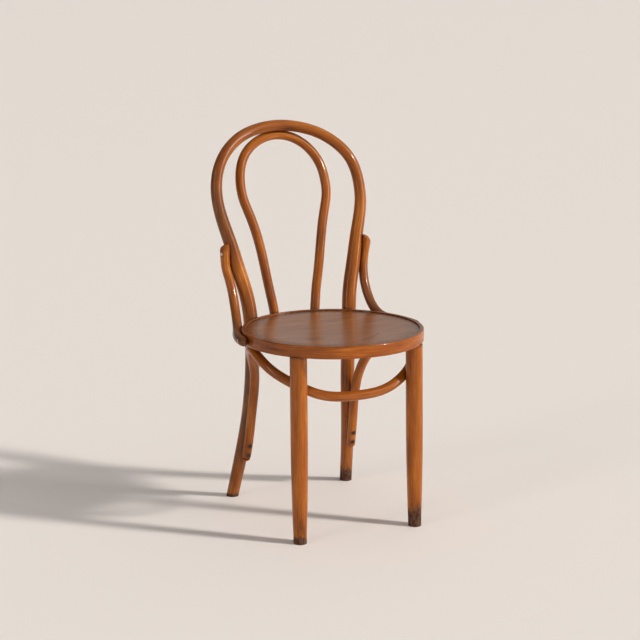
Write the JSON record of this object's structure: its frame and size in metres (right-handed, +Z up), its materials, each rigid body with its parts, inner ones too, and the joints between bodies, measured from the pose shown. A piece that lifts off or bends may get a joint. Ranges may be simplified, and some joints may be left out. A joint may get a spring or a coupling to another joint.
{
  "type": "bentwood bistro chair",
  "caption": "Bentwood dining chair: round dished seat, tall looped back with a smaller loop inside, side arms, turned front legs and a wavy brace below.",
  "frame": {"origin": "on the floor, under the middle of the chair's outline seen from above", "axes": "+Z up, -Y the way the sitter faces, +X to the sitter's left"},
  "size_m": [0.4504, 0.529, 0.887],
  "materials": {
    "bent_rods": "clear glossy varnish over stained beech, bent",
    "turned_legs": "clear glossy varnish over stained beech, turned",
    "seat_frame": "clear glossy varnish over stained beech",
    "seat_plywood": "worn glossy varnish over stained plywood",
    "screw_steel": "darkened slotted steel"
  },
  "bodies": {
    "root": {"arm_left": "bent_rods", "arm_right": "bent_rods", "arm_seat_screws": "screw_steel", "arm_top_screws": "screw_steel", "brace_foot_screws": "screw_steel", "brace_leg_screws": "screw_steel", "brace_seat_screws": "screw_steel", "front_leg_left": "turned_legs", "front_leg_right": "turned_legs", "hoop_top_screw": "screw_steel", "inner_back_hoop": "bent_rods", "inner_hoop_screws": "screw_steel", "leg_bolt_nuts": "screw_steel", "leg_bolt_washers": "screw_steel", "leg_bolts": "screw_steel", "leg_brace": "bent_rods", "leg_lock_screws": "screw_steel", "outer_back_hoop": "bent_rods", "panel_pins": "screw_steel", "seat_panel": "seat_plywood", "seat_ring": "seat_frame"}
  },
  "joints": []
}
